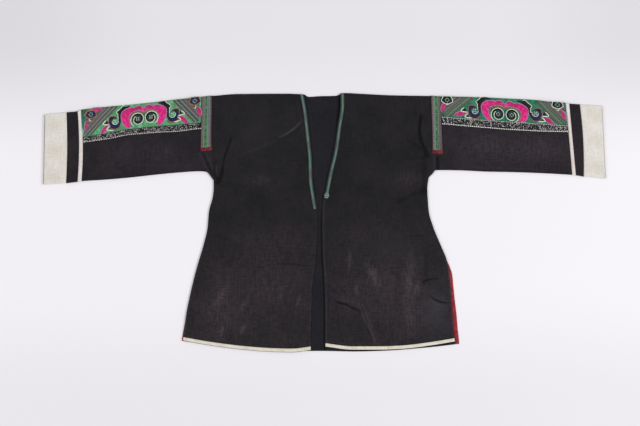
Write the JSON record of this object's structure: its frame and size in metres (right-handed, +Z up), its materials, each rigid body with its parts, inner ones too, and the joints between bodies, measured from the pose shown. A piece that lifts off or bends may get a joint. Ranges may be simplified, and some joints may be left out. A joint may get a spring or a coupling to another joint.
{
  "type": "hmong embroidered jacket",
  "caption": "Dark cotton jacket laid flat, open in front, with straight sleeves, green applique sleeve panels, white cuffs and hem bands.",
  "frame": {"origin": "on the surface under the middle of the footprint", "axes": "+X towards the wearer's left cuff, +Y towards the neck, +Z up from the surface that the jacket lies on"},
  "size_m": [1.2342, 0.568, 0.0076],
  "materials": {
    "dark_cotton": "matt, finely slubbed black-dyed cotton, faintly shiny from calendering",
    "inside_cotton": "matt bluish-black inner face of the same cotton",
    "white_cotton": "matt off-white cotton with visible stitching",
    "mint_silk": "soft-sheened mint green silk",
    "emerald_silk": "soft-sheened emerald green silk",
    "geometric_band": "black band with small white geometric stitching",
    "shoulder_braid": "woven striped braid in green, grey and maroon",
    "neck_braid": "grey-green plaited braid",
    "red_cotton": "matt red cotton binding",
    "magenta_silk": "satin-stitched magenta silk",
    "black_silk": "black silk with corded outlines",
    "navy_silk": "navy silk with corded outlines",
    "striped_braid": "braid of fine pink, olive, grey and green cords"
  },
  "bodies": {
    "root": {"back": "inside_cotton", "bar_inner_left": "striped_braid", "bar_inner_right": "striped_braid", "bar_outer_left": "striped_braid", "bar_outer_right": "striped_braid", "butterfly_left": "magenta_silk", "butterfly_right": "magenta_silk", "cuff_left": "white_cotton", "cuff_right": "white_cotton", "front_left": "dark_cotton", "front_right": "dark_cotton", "hem_band_left": "white_cotton", "hem_band_right": "white_cotton", "neck_braid_left": "neck_braid", "neck_braid_right": "neck_braid", "neck_knot": "neck_braid", "panel_border_left": "geometric_band", "panel_border_right": "geometric_band", "roundel_inner_left": "black_silk", "roundel_inner_right": "black_silk", "roundel_outer_left": "black_silk", "roundel_outer_right": "black_silk", "shoulder_strip_left": "shoulder_braid", "shoulder_strip_right": "shoulder_braid", "sleeve_left": "dark_cotton", "sleeve_panel_left": "emerald_silk", "sleeve_panel_right": "mint_silk", "sleeve_right": "dark_cotton", "sleeve_tape_left": "white_cotton", "sleeve_tape_right": "white_cotton", "slit_binding_left": "red_cotton", "slit_binding_right": "red_cotton", "strip_end_left": "red_cotton", "strip_end_right": "red_cotton", "whorl_inner_left": "navy_silk", "whorl_inner_right": "navy_silk", "whorl_outer_left": "navy_silk", "whorl_outer_right": "navy_silk"}
  },
  "joints": []
}
